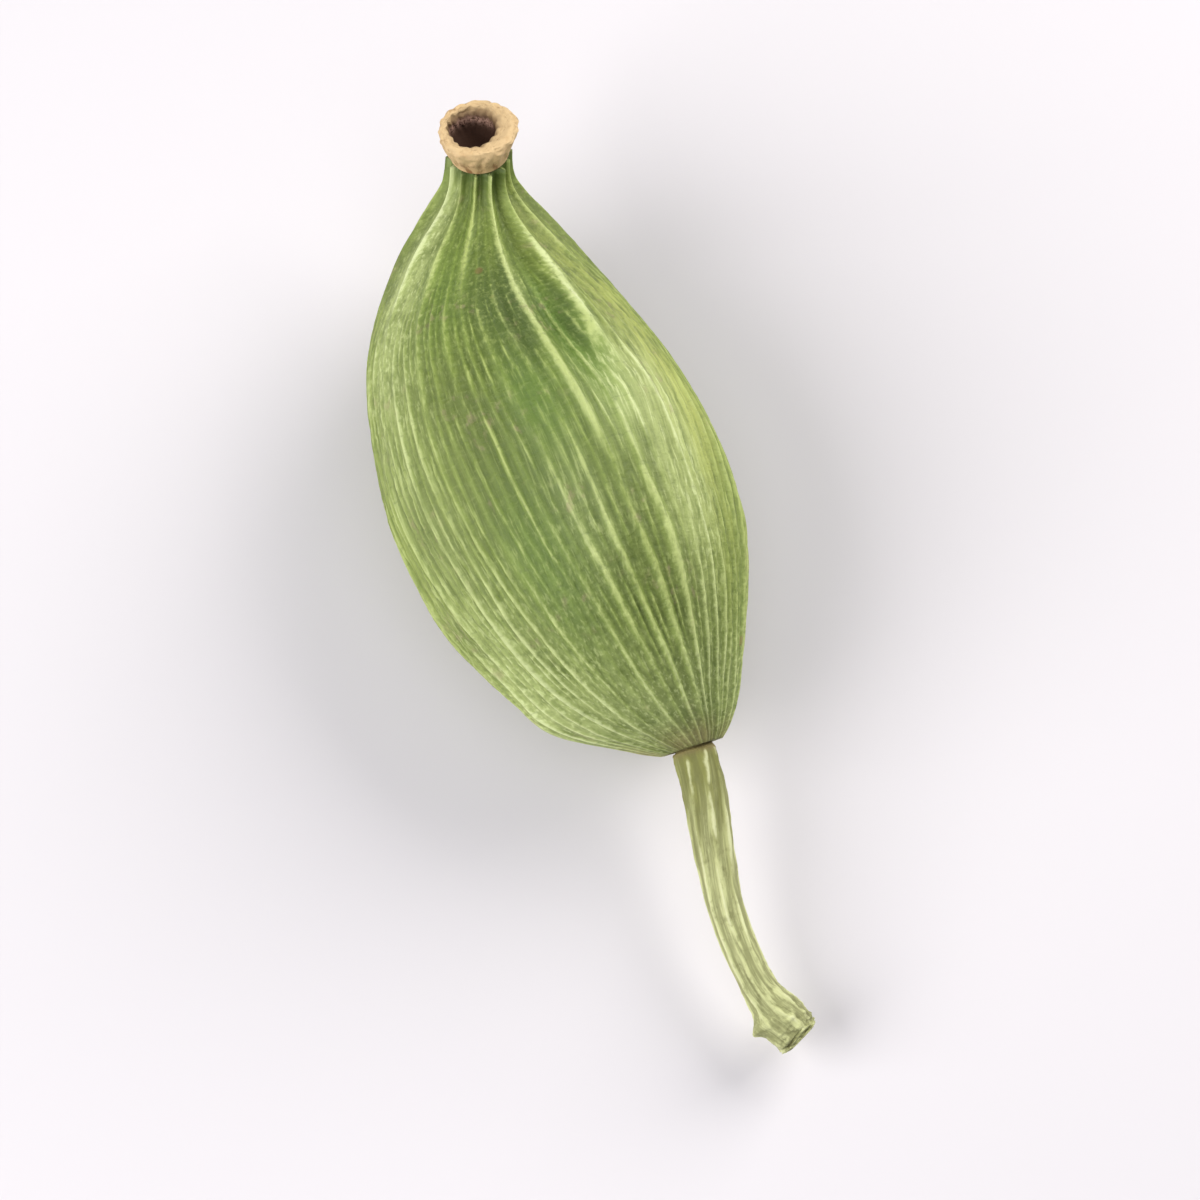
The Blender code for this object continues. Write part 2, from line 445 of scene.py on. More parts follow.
@dataclass(frozen=True)
class FlowerTubeFinish:
    """The dead flower tube: papery tan outside, a cream lip, and dark brown painted shade inside the bore."""

    wall: Colour = paint(200, 168, 122)
    lip: Colour = paint(214, 186, 140)
    vein: Colour = paint(134, 94, 54)
    # Painted shade: the dark brown laid inside the bore.
    bore_shade: Colour = paint(62, 36, 20)
    ledge: Colour = paint(178, 142, 126)
    relief_depth: float = 0.05 * MM

    def material(self) -> bpy.types.Material:
        """Builds the material.

        Returns:
            The flower tube's material.
        """
        graph = Graph("dried_flower")
        crest, deep, tint = graph.mark(Mark.CREST), graph.mark(Mark.DEEP), graph.mark(Mark.TINT)
        streak = graph.noise(graph.grain(7.0, 1.6), 3.0)
        crumple = graph.noise(graph.grain(4.5, 4.5), 4.0, 0.65)
        grit = graph.noise(graph.grain(22.0, 18.0), 2.0)
        colour = graph.blend(graph.step(streak, 0.30, 0.52), self.vein, self.wall)
        colour = graph.blend(crest * graph.step(crumple, 0.25, 0.55), colour, self.lip)
        colour = graph.blend(graph.step(crumple, 0.60, 0.72) * 0.55, colour, self.vein)
        # Painted shade inside the bore, read from the deep mark.
        colour = graph.blend(deep, colour, self.bore_shade)
        colour = graph.blend(tint * graph.step(grit, 0.3, 0.6), colour, self.ledge)
        rough = 0.85 - crest * 0.1
        height = crumple * 0.6 + streak * 0.25 + grit * 0.15
        return graph.finish(colour, rough, height, self.relief_depth)


@dataclass(frozen=True)
class StalkFinish:
    """The dry stem: pale ridges over darker furrows, a rusty ring at the joint and dark clefts in the torn end."""

    furrow: Colour = paint(104, 106, 56)
    ridge: Colour = paint(128, 131, 67)
    pale: Colour = paint(200, 205, 148)
    frost: Colour = paint(230, 234, 188)
    ring: Colour = paint(130, 108, 72)
    cleft: Colour = paint(82, 76, 38)
    relief_depth: float = 0.07 * MM

    def material(self) -> bpy.types.Material:
        """Builds the material.

        Returns:
            The stalk's material.
        """
        graph = Graph("dry_stem")
        crest, along = graph.mark(Mark.CREST), graph.mark(Mark.ALONG)
        tint, deep = graph.mark(Mark.TINT), graph.mark(Mark.DEEP)
        fibre = graph.noise(graph.grain(20.0, 1.1), 3.0)
        streak = graph.noise(graph.grain(5.0, 0.5))
        crumple = graph.noise(graph.grain(6.0, 3.6), 4.0, 0.6)
        pits = graph.noise(graph.grain(3.4, 2.6), 3.0, 0.6)
        colour = graph.blend(graph.step(along + (streak - 0.5) * 0.4, 0.22, 0.48), self.ridge, self.pale)
        colour = graph.blend(graph.step(crest + (fibre - 0.5) * 1.1, 0.42, -0.05) * 0.65, colour, self.furrow)
        colour = graph.blend(graph.step(pits, 0.46, 0.30) * 0.50, colour, self.furrow)
        colour = graph.blend(graph.step(crest + (crumple - 0.5) * 1.0, 0.45, 0.95) * 0.55, colour, self.frost)
        colour = graph.blend(graph.step(crumple, 0.44, 0.26) * 0.40, colour, self.furrow)
        colour = graph.blend(tint * 0.6, colour, self.ring)
        colour = graph.blend(deep * graph.step(crumple, 0.35, 0.6), colour, self.cleft)
        rough = 0.72 + (crumple - 0.5) * 0.2
        height = fibre * 0.40 + crumple * 0.35 + pits * 0.25
        return graph.finish(colour, rough, height, self.relief_depth)


@dataclass
class Spot:
    """One point of a skin, and what its finish reads there."""

    place: Vector
    grain: Vector
    crest: float = 0.0
    along: float = 0.0
    tint: float = 0.0
    deep: float = 0.0
    pale: float = 0.0
    fresh: float = 0.0


def skin(piece: Piece, sides: int, stations: int, spot_at: Callable[[int, float], Spot]) -> bpy.types.Object:
    """One closed skin, shaped from a sphere whose rings and poles move to their spots.

    Args:
        piece: the piece that it is.
        sides: how many points a ring has.
        stations: how many steps lead from the first pole to the last.
        spot_at: gives the spot for a station and an angle.

    Returns:
        The object, at the origin and linked to the scene.
    """
    shape = bmesh.new()
    bmesh.ops.create_uvsphere(shape, u_segments=sides, v_segments=stations, radius=1.0)
    numbers = {mark: shape.verts.layers.float.new(mark.value) for mark in Mark if mark is not Mark.GRAIN}
    grain = shape.verts.layers.float_vector.new(Mark.GRAIN.value)
    for vertex in shape.verts:
        x, y, z = vertex.co
        station = round(stations * math.acos(max(-1.0, min(1.0, -z))) / math.pi)
        spot = spot_at(station, math.atan2(y, x))
        vertex.co = spot.place
        vertex[grain] = spot.grain
        for mark, layer in numbers.items():
            vertex[layer] = getattr(spot, mark.value)
    name = f"{piece.value}_skin"
    mesh = bpy.data.meshes.new(name)
    shape.to_mesh(mesh)
    shape.free()
    mesh.shade_smooth()
    made = bpy.data.objects.new(name, mesh)
    bpy.context.scene.collection.objects.link(made)
    return made


def stand_for(made: bpy.types.Object, piece: Piece, finish: bpy.types.Material) -> None:
    """Dresses a skin and puts it in the place of its node.

    Args:
        made: the skin.
        piece: the piece that it is.
        finish: its material.
    """
    made.data.materials.append(finish)
    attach(made, "root")
    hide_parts(piece.value)
    low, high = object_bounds()
    log.info("%s: %d faces, pod now %s mm", made.name, len(made.data.polygons), (high - low) / MM)


@dataclass(frozen=True)
class Zone:
    """A soft patch of the husk: where its middle is, how strong it is, and how far it spreads both ways."""

    along: float
    degrees: float
    strength: float
    spread: float
    spread_degrees: float

    def at(self, along: float, angle: float) -> float:
        """How strong the patch is at one point.

        Args:
            along: the point's place along the husk.
            angle: the point's angle.

        Returns:
            The strength there.
        """
        reach = (along - self.along) / self.spread
        if abs(reach) > 2.6:
            return 0.0
        turn = angle_gap(angle, math.radians(self.degrees)) / math.radians(self.spread_degrees)
        return self.strength * math.exp(-reach * reach - turn * turn)


@dataclass(frozen=True)
class Ring:
    """One cross-section of a skin: its place counted in sections, and how it lies."""

    position: float
    centre: Vector
    radius: float
    side: Vector
    up: Vector
    axis: Vector


@dataclass(frozen=True)
class Lines:
    """The lines that cross one point of the husk, each 0 where there is none and about 1 on its crest.

    The relief adds the strong and the thin ribs, and what is shown is the palest of all the lines.
    """

    relief: float
    rib: float
    keel: float
    ridge: float
    fold: float
    shown: float


@dataclass
class Husk:
    """The green husk, from the stalk's joint to the neck."""

    joint: Vector = Vector((0.86 * MM, -4.31 * MM, 2.68 * MM))
    # One cross-section a row: how far its centre lies along, beside and above the stalk's joint, its mean radius, and
    # how many degrees its axis climbs.
    sections: tuple[Row, ...] = (
        (0.00 * MM, 0.00 * MM, 0.00 * MM, 0.72 * MM, 12.0),
        (0.30 * MM, -0.14 * MM, 0.06 * MM, 1.14 * MM, 10.0),
        (1.00 * MM, -0.40 * MM, 0.20 * MM, 1.86 * MM, 8.0),
        (2.40 * MM, -0.66 * MM, 0.42 * MM, 2.80 * MM, 4.0),
        (4.40 * MM, -0.74 * MM, 0.60 * MM, 3.62 * MM, 1.0),
        (6.90 * MM, -0.80 * MM, 0.68 * MM, 3.98 * MM, 1.0),
        (9.30 * MM, -0.90 * MM, 0.68 * MM, 3.74 * MM, 3.0),
        (11.50 * MM, -0.94 * MM, 0.90 * MM, 3.00 * MM, 12.0),
        (13.20 * MM, -0.68 * MM, 1.42 * MM, 1.92 * MM, 30.0),
        (14.30 * MM, -0.26 * MM, 2.15 * MM, 0.88 * MM, 50.0),
        (14.86 * MM, -0.02 * MM, 2.86 * MM, 0.71 * MM, 64.0),
    )
    flattening: float = 0.93
    turn_share: float = 0.16
    # Three blunt corners, one of them on top.
    top_corner: float = math.radians(76.0)
    corner_rise: float = 0.06
    lopsided: float = math.radians(9.5)
    # Every third rib is a strong one, which alone goes on into the folds of the neck and the puckers of the base.
    strong_ribs: int = 13
    rib_height: float = 0.12 * MM
    full_rib_radius: float = 3.0 * MM
    thin_rib_radii: tuple[float, float] = (1.8 * MM, 3.0 * MM)
    rib_turn: float = math.radians(-4.0)
    rib_twist: float = math.radians(-12.0)
    rib_wander: float = math.radians(1.5)
    rib_jitter: float = math.radians(2.4)
    bold_ribs: tuple[float, float] = (3.0 * MM, 8.0 * MM)
    calm: Zone = Zone(7.0 * MM, 106.0, 0.50, 3.4 * MM, 26.0)
    # The keels are the ribs that run along the corners.
    keel_ribs: tuple[int, ...] = (9, -3, 24)
    keel_height: float = 0.11 * MM
    keel_spread: float = math.radians(2.6)
    keel_fade: tuple[float, float] = (5.0 * MM, 8.0 * MM)
    # A second ridge comes down from the neck beside the upper keel, and drifts towards it.
    ridge_top: float = 14.0 * MM
    ridge_angle: float = math.radians(52.5)
    ridge_drift: float = math.radians(2.3) / MM
    ridge_fade: tuple[float, float] = (8.6 * MM, 9.8 * MM)
    ridge_height: float = 0.05 * MM
    neck_folds: tuple[float, float] = (10.8 * MM, 13.8 * MM)
    fold_depth: float = 0.09 * MM
    base_puckers: tuple[float, float] = (0.2 * MM, 2.2 * MM)
    pucker_depth: float = 0.10 * MM
    swellings: tuple[Zone, ...] = (
        Zone(12.8 * MM, 66.0, -0.20 * MM, 1.6 * MM, 7.0),
        Zone(10.3 * MM, 71.0, -0.46 * MM, 1.6 * MM, 6.0),
        Zone(10.8 * MM, 87.0, -0.24 * MM, 2.2 * MM, 4.5),
        Zone(13.0 * MM, 53.5, 0.10 * MM, 1.0 * MM, 5.0),
        Zone(11.6 * MM, 57.0, 0.16 * MM, 1.2 * MM, 5.0),
        Zone(10.1 * MM, 60.5, 0.16 * MM, 1.2 * MM, 5.0),
        Zone(7.9 * MM, 60.0, 0.22 * MM, 1.1 * MM, 12.0),
        Zone(6.8 * MM, 110.0, -0.14 * MM, 2.6 * MM, 18.0),
        Zone(1.3 * MM, 176.0, 0.32 * MM, 0.9 * MM, 34.0),
        Zone(0.6 * MM, 232.0, -0.24 * MM, 0.6 * MM, 34.0),
        Zone(1.0 * MM, 50.0, -0.14 * MM, 1.0 * MM, 22.0),
        Zone(0.6 * MM, 206.0, -0.24 * MM, 0.35 * MM, 24.0),
    )
    sunny_sides: tuple[Zone, ...] = (
        Zone(8.4 * MM, 30.0, 1.0, 5.0 * MM, 22.0),
        Zone(7.0 * MM, 250.0, 0.7, 6.0 * MM, 60.0),
    )
    pale_patches: tuple[Zone, ...] = (
        Zone(7.8 * MM, 60.0, 1.4, 1.2 * MM, 13.0),
        Zone(6.0 * MM, 47.0, 1.2, 2.8 * MM, 14.0),
        Zone(13.2 * MM, 158.0, 1.0, 2.4 * MM, 19.0),
        Zone(9.4 * MM, 158.0, 0.55, 3.8 * MM, 22.0),
        Zone(2.6 * MM, 160.0, 0.65, 2.4 * MM, 40.0),
        Zone(5.4 * MM, 92.0, 0.35, 1.6 * MM, 10.0),
        Zone(1.0 * MM, 90.0, 0.45, 1.3 * MM, 900.0),
        Zone(12.2 * MM, 79.0, 0.45, 2.6 * MM, 3.0),
        Zone(12.6 * MM, 55.0, 0.9, 1.2 * MM, 2.3),
        Zone(10.9 * MM, 59.0, 0.9, 1.3 * MM, 2.0),
    )
    fresh_patches: tuple[Zone, ...] = (
        Zone(10.0 * MM, 69.0, 1.0, 2.2 * MM, 8.0),
        Zone(8.4 * MM, 92.0, 0.7, 1.6 * MM, 10.0),
        Zone(12.4 * MM, 118.0, 0.4, 1.6 * MM, 20.0),
        Zone(4.6 * MM, 112.0, 0.5, 2.0 * MM, 16.0),
    )
    # Painted shade: darker green in the creases beside the keel, in the valley between the keel and the second ridge
    # (partly its own darker green), over the middle of the body and near the base.
    painted_shade_zones: tuple[Zone, ...] = (
        Zone(12.5 * MM, 83.0, 0.9, 1.5 * MM, 2.2),
        Zone(10.6 * MM, 85.0, 0.8, 1.3 * MM, 2.2),
        Zone(11.2 * MM, 73.5, 0.8, 1.6 * MM, 2.0),
        Zone(11.2 * MM, 63.5, 0.9, 1.1 * MM, 2.0),
        Zone(9.9 * MM, 66.5, 0.8, 0.9 * MM, 2.2),
        Zone(11.4 * MM, 90.0, 1.0, 2.0 * MM, 8.0),
        Zone(12.0 * MM, 101.0, 0.6, 1.8 * MM, 8.0),
        Zone(6.2 * MM, 96.0, 0.4, 3.4 * MM, 22.0),
        Zone(2.0 * MM, 20.0, 0.3, 2.0 * MM, 40.0),
        # A ring of painted shadow where the flower tube sits on the neck.
        Zone(14.86 * MM, 90.0, 1.0, 0.20 * MM, 900.0),
    )
    dent_height: float = 0.07 * MM
    wrinkle_height: float = 0.020 * MM
    stalk_socket: float = 0.50 * MM
    tube_socket: float = 0.42 * MM
    socket_depth: float = 0.40 * MM
    socket_rings: int = 3
    points_per_rib: int = 11
    stations: int = 225
    samples_per_section: int = 40
    finish: HuskFinish = HuskFinish()
    rings: list[Ring] = field(init=False)

    def __post_init__(self) -> None:
        """Lays out the rings, evenly spaced over the skin between the two sockets."""
        steps = self.samples_per_section * (len(self.sections) - 1)
        samples = [between(self.sections, step / self.samples_per_section) for step in range(steps + 1)]
        lengths = [0.0]
        for first, second in zip(samples, samples[1:]):
            move = math.dist((first[0], first[2], first[3]), (second[0], second[2], second[3]))
            lengths.append(lengths[-1] + move)
        outer = self.stations - 2 * self.socket_rings
        self.rings = [self.ring(0.0)] * self.socket_rings
        for step in range(outer + 1):
            target = lengths[-1] * step / outer
            index = min(max(bisect_left(lengths, target), 1), steps)
            share = (target - lengths[index - 1]) / (lengths[index] - lengths[index - 1])
            self.rings.append(self.ring((index - 1 + share) / self.samples_per_section))
        self.rings += [self.ring(len(self.sections) - 1)] * self.socket_rings

    def ring(self, position: float) -> Ring:
        """Where a cross-section is and how it is turned.

        Args:
            position: its place, counted in sections.

        Returns:
            The cross-section. Its axis points back to the stalk.
        """
        along, aside, rise, radius, climb = between(self.sections, position)
        climb = math.radians(climb)
        turn = self.turn_share * climb
        side = Vector((math.cos(turn), -math.sin(turn), 0.0))
        axis = -Vector((math.sin(turn) * math.cos(climb), math.cos(turn) * math.cos(climb), math.sin(climb)))
        return Ring(position, Vector((aside, along, rise)), radius, side, axis.cross(side), axis)

    def lines(self, ring: Ring, angle: float, bend: float, grain: Vector, sunny: float) -> Lines:
        """The ribs, keels, ridge and folds at one point.

        Args:
            ring: the cross-section that the point is on.
            angle: the point's angle, counted along the ribs.
            bend: its angle round the husk.
            grain: its place on the skin laid out straight.
            sunny: how far it is on a yellower side, where the ribs are fainter.

        Returns:
            The lines there.
        """
        along = ring.centre.y
        neck = ease(*self.neck_folds, along)
        lower = 1.0 - ease(*self.bold_ribs, along)
        faint = 1.0 - 0.35 * sunny
        uneven = noise_round(angle, along, 6.0, 6.0 * MM)
        crooked = noise_round(angle, along, 9.0, 1.4 * MM)

        ribs = 3 * self.strong_ribs
        own = angle + self.rib_jitter * (uneven + 0.3 * crooked)
        number = round(own * ribs / (2.0 * math.pi)) % ribs
        strength = max(0.3, 0.72 + 0.6 * noise.noise(Vector((3.7 * number, along / (3.2 * MM), 0.5))))
        strength *= 1.0 - self.calm.at(along, bend)
        rib = crease(ribs * own) ** 1.6 * strength * faint * (1.0 - 0.7 * neck)
        thin_rib = hump(angle_gap(ribs * own, math.pi), 0.45) * ease(*self.thin_rib_radii, ring.radius)
        thin_rib *= max(0.0, 0.75 + noise.noise(grain * 0.9)) * faint

        keel = sum(hump(angle_gap(angle, line * 2.0 * math.pi / ribs), self.keel_spread) for line in self.keel_ribs)
        keel *= 0.25 + 0.75 * ease(*self.keel_fade, along)
        course = self.ridge_angle + self.ridge_drift * (self.ridge_top - along)
        ridge = hump(angle_gap(bend, course), self.keel_spread) * ease(*self.ridge_fade, along)
        fold = crease(self.strong_ribs * (angle + 0.35 * self.rib_jitter * crooked))

        folds = neck * fold**1.5 * max(0.2, 0.75 + uneven)
        shown = max(min(0.92, rib * (1.0 + 0.3 * lower)), 0.78 * thin_rib, keel * keel, 0.95 * ridge, folds)
        return Lines((rib + 0.5 * thin_rib) * (1.0 + 0.6 * lower), rib, keel, ridge, fold, min(1.0, shown))

    def spot(self, station: int, angle: float) -> Spot:
        """One point of the skin.

        Args:
            station: which ring it is on, counted from the floor of the stalk's socket.
            angle: its angle, counted along the ribs.

        Returns:
            The point and its marks.
        """
        ring = self.rings[station]
        if min(station, self.stations - station) < self.socket_rings:
            return self.socket_spot(ring, station, angle)
        along, radius = ring.centre.y, ring.radius
        fullness = min(1.0, radius / self.full_rib_radius)
        neck = ease(*self.neck_folds, along)
        base = 1.0 - ease(*self.base_puckers, along)

        sway = noise_round(angle, along, 2.0, 3.5 * MM)
        bend = angle + self.rib_turn + self.rib_twist * (1.0 - ease(0.5, 6.5, ring.position))
        bend += self.rib_wander * (math.sin(2.0 * angle + 0.7 * ring.position) + 0.8 * sway * (1.0 - neck))
        around = angle_gap(bend, self.top_corner)
        triangle = math.cos(3.0 * (around - self.lopsided * (1.0 - math.cos(around))))
        grain = Vector((radius * math.cos(bend), along, radius * math.sin(bend))) / MM
        patches = (self.sunny_sides, self.painted_shade_zones, self.pale_patches, self.fresh_patches)
        sunny, deep, pale, fresh = (min(1.0, sum(zone.at(along, bend) for zone in zones)) for zones in patches)
        lines = self.lines(ring, angle, bend, grain, sunny)

        reach = radius * (1.0 + self.corner_rise * triangle)
        reach += fullness * (lines.relief * self.rib_height + lines.keel * self.keel_height)
        reach += (neck * self.fold_depth + base * fullness * self.pucker_depth) * (2.0 * lines.fold - 0.9)
        reach += lines.ridge * self.ridge_height + sum(zone.at(along, bend) for zone in self.swellings)
        reach += fullness * self.dent_height * noise.noise(grain * 0.42)
        wrinkle = noise.noise(Vector((2.6 * grain.x, 5.5 * grain.y, 2.6 * grain.z)))
        wrinkle += 0.6 * noise.noise(Vector((6.0 * grain.x, 8.0 * grain.y, 6.0 * grain.z)))
        reach += fullness * self.wrinkle_height * wrinkle * (1.1 - lines.rib)
        place = ring.centre + ring.side * (reach * math.cos(bend))
        place += ring.up * (reach * self.flattening * math.sin(bend))
        place.z = max(place.z, -self.joint.z)
        length = along / self.sections[-1][0]
        return Spot(place + self.joint, grain, lines.shown, length, sunny, deep, pale, fresh)

    def socket_spot(self, ring: Ring, station: int, angle: float) -> Spot:
        """One point of the blind socket at either end.

        Args:
            ring: the husk's end.
            station: which ring the point is on; the floor's middle is the first and the last of all.
            angle: the point's angle.

        Returns:
            The point and its marks.
        """
        at_stalk = station < self.socket_rings
        from_end = min(station, self.stations - station)
        inward = -ring.axis if at_stalk else ring.axis
        reach = 0.0 if from_end == 0 else self.stalk_socket if at_stalk else self.tube_socket
        floor = self.socket_depth if from_end < 2 else 0.0
        place = ring.centre + inward * floor
        place += (ring.side * math.cos(angle) + ring.up * math.sin(angle)) * reach
        # The sockets get painted shade: a deep mark of 0.6.
        return Spot(place + self.joint, place / MM, 0.0, 0.0 if at_stalk else 1.0, 0.0, 0.6)

    def build(self) -> bpy.types.Object:
        """Makes and dresses the husk.

        Returns:
            The husk's object.
        """
        sides = 3 * self.strong_ribs * self.points_per_rib
        made = skin(Piece.HUSK, sides, self.stations, self.spot)
        made.data.flip_normals()
        stand_for(made, Piece.HUSK, self.finish.material())
        return made


@dataclass
class FlowerTube:
    """The short dry tube on the neck, with a thick crumpled lip round an off-centre bore."""

    husk: Husk
    # Height above the end of the neck, radius, and how much of the row is lip and painted bore shade, from the foot
    # to the floor.
    sections: tuple[Row, ...] = (
        (-0.34 * MM, 0.36 * MM, 0.0, 0.0),
        (0.06 * MM, 0.36 * MM, 0.0, 0.0),
        (0.06 * MM, 0.67 * MM, 0.0, 0.0),
        (0.22 * MM, 0.74 * MM, 0.1, 0.0),
        (0.56 * MM, 0.86 * MM, 0.5, 0.0),
        (0.84 * MM, 0.95 * MM, 0.8, 0.0),
        (0.97 * MM, 0.92 * MM, 1.0, 0.0),
        (1.00 * MM, 0.82 * MM, 1.0, 0.0),
        (0.96 * MM, 0.68 * MM, 1.0, 0.1),
        (0.84 * MM, 0.60 * MM, 0.5, 0.6),
        (0.60 * MM, 0.57 * MM, 0.0, 1.0),
        (0.42 * MM, 0.53 * MM, 0.0, 1.0),
        (0.26 * MM, 0.38 * MM, 0.0, 1.0),
        (0.24 * MM, 0.02 * MM, 0.0, 1.0),
    )
    inner_rows: tuple[float, float] = (7.0, 9.0)
    rings_per_section: int = 8
    sides: int = 216
    lobe: float = 0.04
    rim_wave: float = 0.07 * MM
    crumple: float = 0.05 * MM
    pleats: int = 17
    pleat_depth: float = 0.018 * MM
    bore_shift: Vector = Vector((-0.12 * MM, 0.10 * MM, 0.0))
    finish: FlowerTubeFinish = FlowerTubeFinish()
    placing: Matrix = field(init=False)

    def __post_init__(self) -> None:
        """Finds the turn and place of the end of the neck, with its axis along Z."""
        end = self.husk.rings[-1]
        turn = Matrix((end.side, -end.up, -end.axis)).transposed().to_4x4()
        self.placing = Matrix.Translation(end.centre + self.husk.joint) @ turn

    def spot(self, station: int, angle: float) -> Spot:
        """One point of the tube.

        Args:
            station: which ring it is on, counted from the middle of its foot.
            angle: its angle round the tube.

        Returns:
            The point and its marks.
        """
        position = min(max(station - 1, 0) / self.rings_per_section, len(self.sections) - 1)
        height, radius, lip, deep = between(self.sections, position)
        openness = ease(0.3 * MM, 0.95 * MM, height)
        lip, deep = max(0.0, min(1.0, lip)), max(0.0, min(1.0, deep))
        swirl = Vector((1.6 * math.cos(angle), 1.6 * math.sin(angle), position * 0.7))
        ruffle = noise.noise(swirl) + 0.5 * noise.noise(swirl * 2.7)
        radius *= 1.0 + self.lobe * openness * math.cos(3.0 * angle + 0.8)
        radius += self.crumple * openness * ruffle
        radius += self.pleat_depth * math.sin(self.pleats * angle + 2.0 * ruffle) * ease(0.0, 0.5 * MM, height)
        height += self.rim_wave * openness * math.cos(2.0 * angle - 0.6)
        height += self.crumple * openness * noise.noise(swirl * 1.9 + Vector((5.0, 0.0, 0.0)))
        inner = ease(*self.inner_rows, position)
        reach = 0.0 if station == 0 else max(radius, 0.0)
        local = Vector((reach * math.cos(angle), reach * math.sin(angle), height)) + self.bore_shift * inner
        ledge = inner * hump(height - 0.60 * MM, 0.11 * MM) * ease(0.1, 0.7, math.sin(angle))
        grain = Vector((radius * math.cos(angle), height - 2.0 * inner * MM, radius * math.sin(angle))) / MM
        return Spot(self.placing @ local, grain, lip, position / len(self.sections), ledge, deep)

    def build(self) -> bpy.types.Object:
        """Makes and dresses the flower tube.

        Returns:
            The tube's object.
        """
        stations = (len(self.sections) - 1) * self.rings_per_section + 2
        made = skin(Piece.FLOWER_TUBE, self.sides, stations, self.spot)
        stand_for(made, Piece.FLOWER_TUBE, self.finish.material())
        return made


@dataclass
class Stalk:
    """The curved stem, with long ridges and a flared, torn end."""

    joint: Vector
    # How far each centre lies along, beside and above the joint, and the radius, from the foot to the cut end.
    sections: tuple[Row, ...] = (
        (0.34 * MM, 0.00 * MM, 0.06 * MM, 0.42 * MM),
        (0.00 * MM, 0.00 * MM, 0.00 * MM, 0.44 * MM),
        (-0.18 * MM, -0.01 * MM, -0.03 * MM, 0.54 * MM),
        (-1.10 * MM, -0.10 * MM, -0.16 * MM, 0.54 * MM),
        (-2.50 * MM, -0.36 * MM, -0.38 * MM, 0.48 * MM),
        (-4.00 * MM, -0.56 * MM, -0.68 * MM, 0.43 * MM),
        (-5.40 * MM, -0.50 * MM, -1.02 * MM, 0.42 * MM),
        (-6.15 * MM, -0.34 * MM, -1.25 * MM, 0.47 * MM),
        (-6.60 * MM, -0.18 * MM, -1.40 * MM, 0.58 * MM),
        (-7.05 * MM, 0.02 * MM, -1.53 * MM, 0.56 * MM),
        (-7.25 * MM, 0.12 * MM, -1.58 * MM, 0.44 * MM),
    )
    ribs: int = 8
    rib_share: float = 0.12
    ribbed_rows: tuple[float, float] = (1.6, 2.4)
    torn_rows: float = 2.5
    sides: int = 240
    rings_per_section: int = 28
    cut_lobe: float = 0.16
    cut_rim_share: float = 0.66
    cut_depth: float = 0.12 * MM
    cut_rings: int = 12
    flap: Zone = Zone(-6.50 * MM, 168.0, 0.26 * MM, 0.16 * MM, 24.0)
    crumple: float = 0.06 * MM
    finish: StalkFinish = StalkFinish()
    rings: list[Ring] = field(init=False)

    def __post_init__(self) -> None:
        """Lays out the rings from the foot to the rim of the cut end."""
        steps = (len(self.sections) - 1) * self.rings_per_section
        self.rings = [self.ring(step / self.rings_per_section) for step in range(steps + 1)]

    def ring(self, position: float) -> Ring:
        """Where a cross-section is and how it is turned.

        Args:
            position: its place, counted in sections.

        Returns:
            The cross-section. Its axis points on to the cut end.
        """
        along, aside, rise, radius = between(self.sections, position)
        ahead = between(self.sections, min(position + 0.01, len(self.sections) - 1))
        behind = between(self.sections, max(position - 0.01, 0.0))
        axis = Vector((ahead[1] - behind[1], ahead[0] - behind[0], ahead[2] - behind[2])).normalized()
        side = axis.cross(Vector((0.0, 0.0, -1.0))).normalized()
        return Ring(position, Vector((aside, along, rise)), radius, side, axis.cross(side), axis)

    def spot(self, station: int, angle: float) -> Spot:
        """One point of the stalk.

        Args:
            station: which ring it is on, counted from the middle of its foot.
            angle: its angle round the stalk.

        Returns:
            The point and its marks.
        """
        last = len(self.sections) - 1
        rim = len(self.rings) - 1
        ring = self.rings[min(max(station - 1, 0), rim)]
        position, centre, radius = ring.position, ring.centre, ring.radius
        past_rim = max(0.0, (station - 1 - rim) / self.cut_rings)
        cut = ease(last - self.torn_rows, last, position)
        twist = angle + 0.25 * math.sin(0.8 * position)
        crooked = noise.noise(Vector((3.0 * math.cos(angle), 3.0 * math.sin(angle), position * 1.4)))
        crest = crease(self.ribs * twist + 1.6 * crooked) * (0.65 + crooked) if position > 1.9 else 0.4
        shown = ease(*self.ribbed_rows, position)
        radius *= 1.0 + self.rib_share * shown * (crest - 0.35) * (1.0 - 0.5 * cut)
        radius *= 1.0 + self.cut_lobe * cut * math.cos(2.0 * angle + 0.9)
        swirl = Vector((1.3 * math.cos(angle), 1.3 * math.sin(angle), position * 2.2))
        rough = noise.noise(swirl * 1.4) + 0.5 * noise.noise(swirl * 3.1)
        radius += self.crumple * rough * (0.3 * shown + 1.4 * cut) + self.flap.at(centre.y, angle)
        radius *= 1.0 - (1.0 - self.cut_rim_share) * ease(0.0, 0.5, past_rim)
        radius *= 1.0 - ease(0.45, 1.0, past_rim)
        sink = self.cut_depth * ease(0.05, 0.55, past_rim) + self.crumple * past_rim * rough
        centre = centre - ring.axis * sink
        reach = 0.0 if station in (0, rim + 1 + self.cut_rings) else max(radius, 0.0)
        place = centre + (ring.side * math.cos(angle) + ring.up * math.sin(angle)) * reach
        grain = Vector((radius * math.cos(twist), -centre.y + past_rim * 0.8 * MM, radius * math.sin(twist))) / MM
        rusty = hump(centre.y + 0.06 * MM, 0.14 * MM) * (1.0 - past_rim)
        deep = max(ease(0.1, 0.5, past_rim), 0.8 * cut * ease(0.15, -0.25, rough) if cut > 0.0 else 0.0)
        return Spot(place + self.joint, grain, crest, position / last, rusty, deep)

